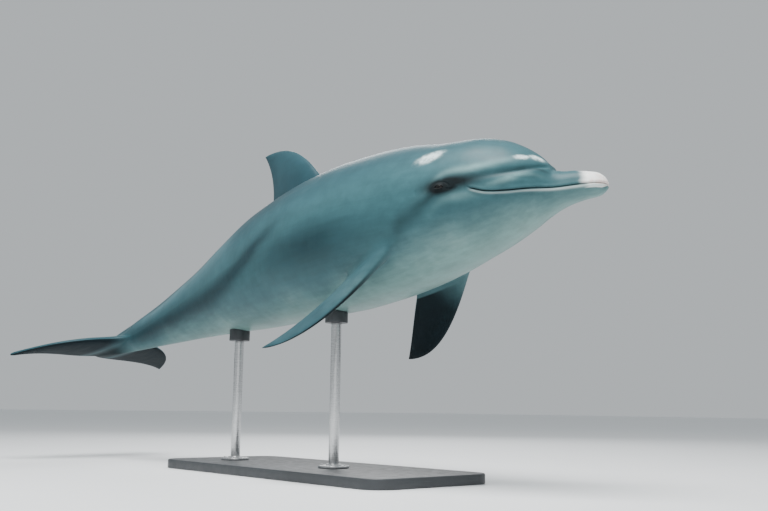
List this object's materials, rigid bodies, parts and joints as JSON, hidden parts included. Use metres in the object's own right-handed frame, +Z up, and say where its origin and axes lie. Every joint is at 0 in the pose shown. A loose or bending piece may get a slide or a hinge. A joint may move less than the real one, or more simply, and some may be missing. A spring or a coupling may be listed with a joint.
{
  "type": "bottlenose dolphin model",
  "caption": "Life-size bottlenose dolphin in a gliding swim, head level and tail low, held over a flat base by upright rods.",
  "frame": {"origin": "middle of the underside of the stand's base", "axes": "+X forwards along the body towards the beak, +Y to the dolphin's left, +Z up"},
  "size_m": [2.4464, 0.8315, 1.1262],
  "materials": {
    "skin": "smooth wet-looking skin, teal grey above and paler below",
    "eye": "glossy",
    "stand_paint": "satin charcoal",
    "stand_steel": "brushed"
  },
  "bodies": {
    "root": {"upper_beak": "skin", "lower_jaw": "skin", "head": "skin", "blowhole": "skin", "neck": "skin", "chest": "skin", "trunk_front": "skin", "trunk_rear": "skin", "tail_stock_front": "skin", "tail_stock_rear": "skin", "dorsal_fin": "skin", "pectoral_fin_left": "skin", "pectoral_fin_right": "skin", "fluke_left": "skin", "fluke_right": "skin", "eye_left": "eye", "eye_right": "eye", "stand_base": "stand_paint", "stand_saddle_front": "stand_paint", "stand_saddle_rear": "stand_paint", "stand_rod_front": "stand_steel", "stand_rod_rear": "stand_steel", "stand_flange_front": "stand_steel", "stand_flange_rear": "stand_steel"}
  },
  "joints": []
}
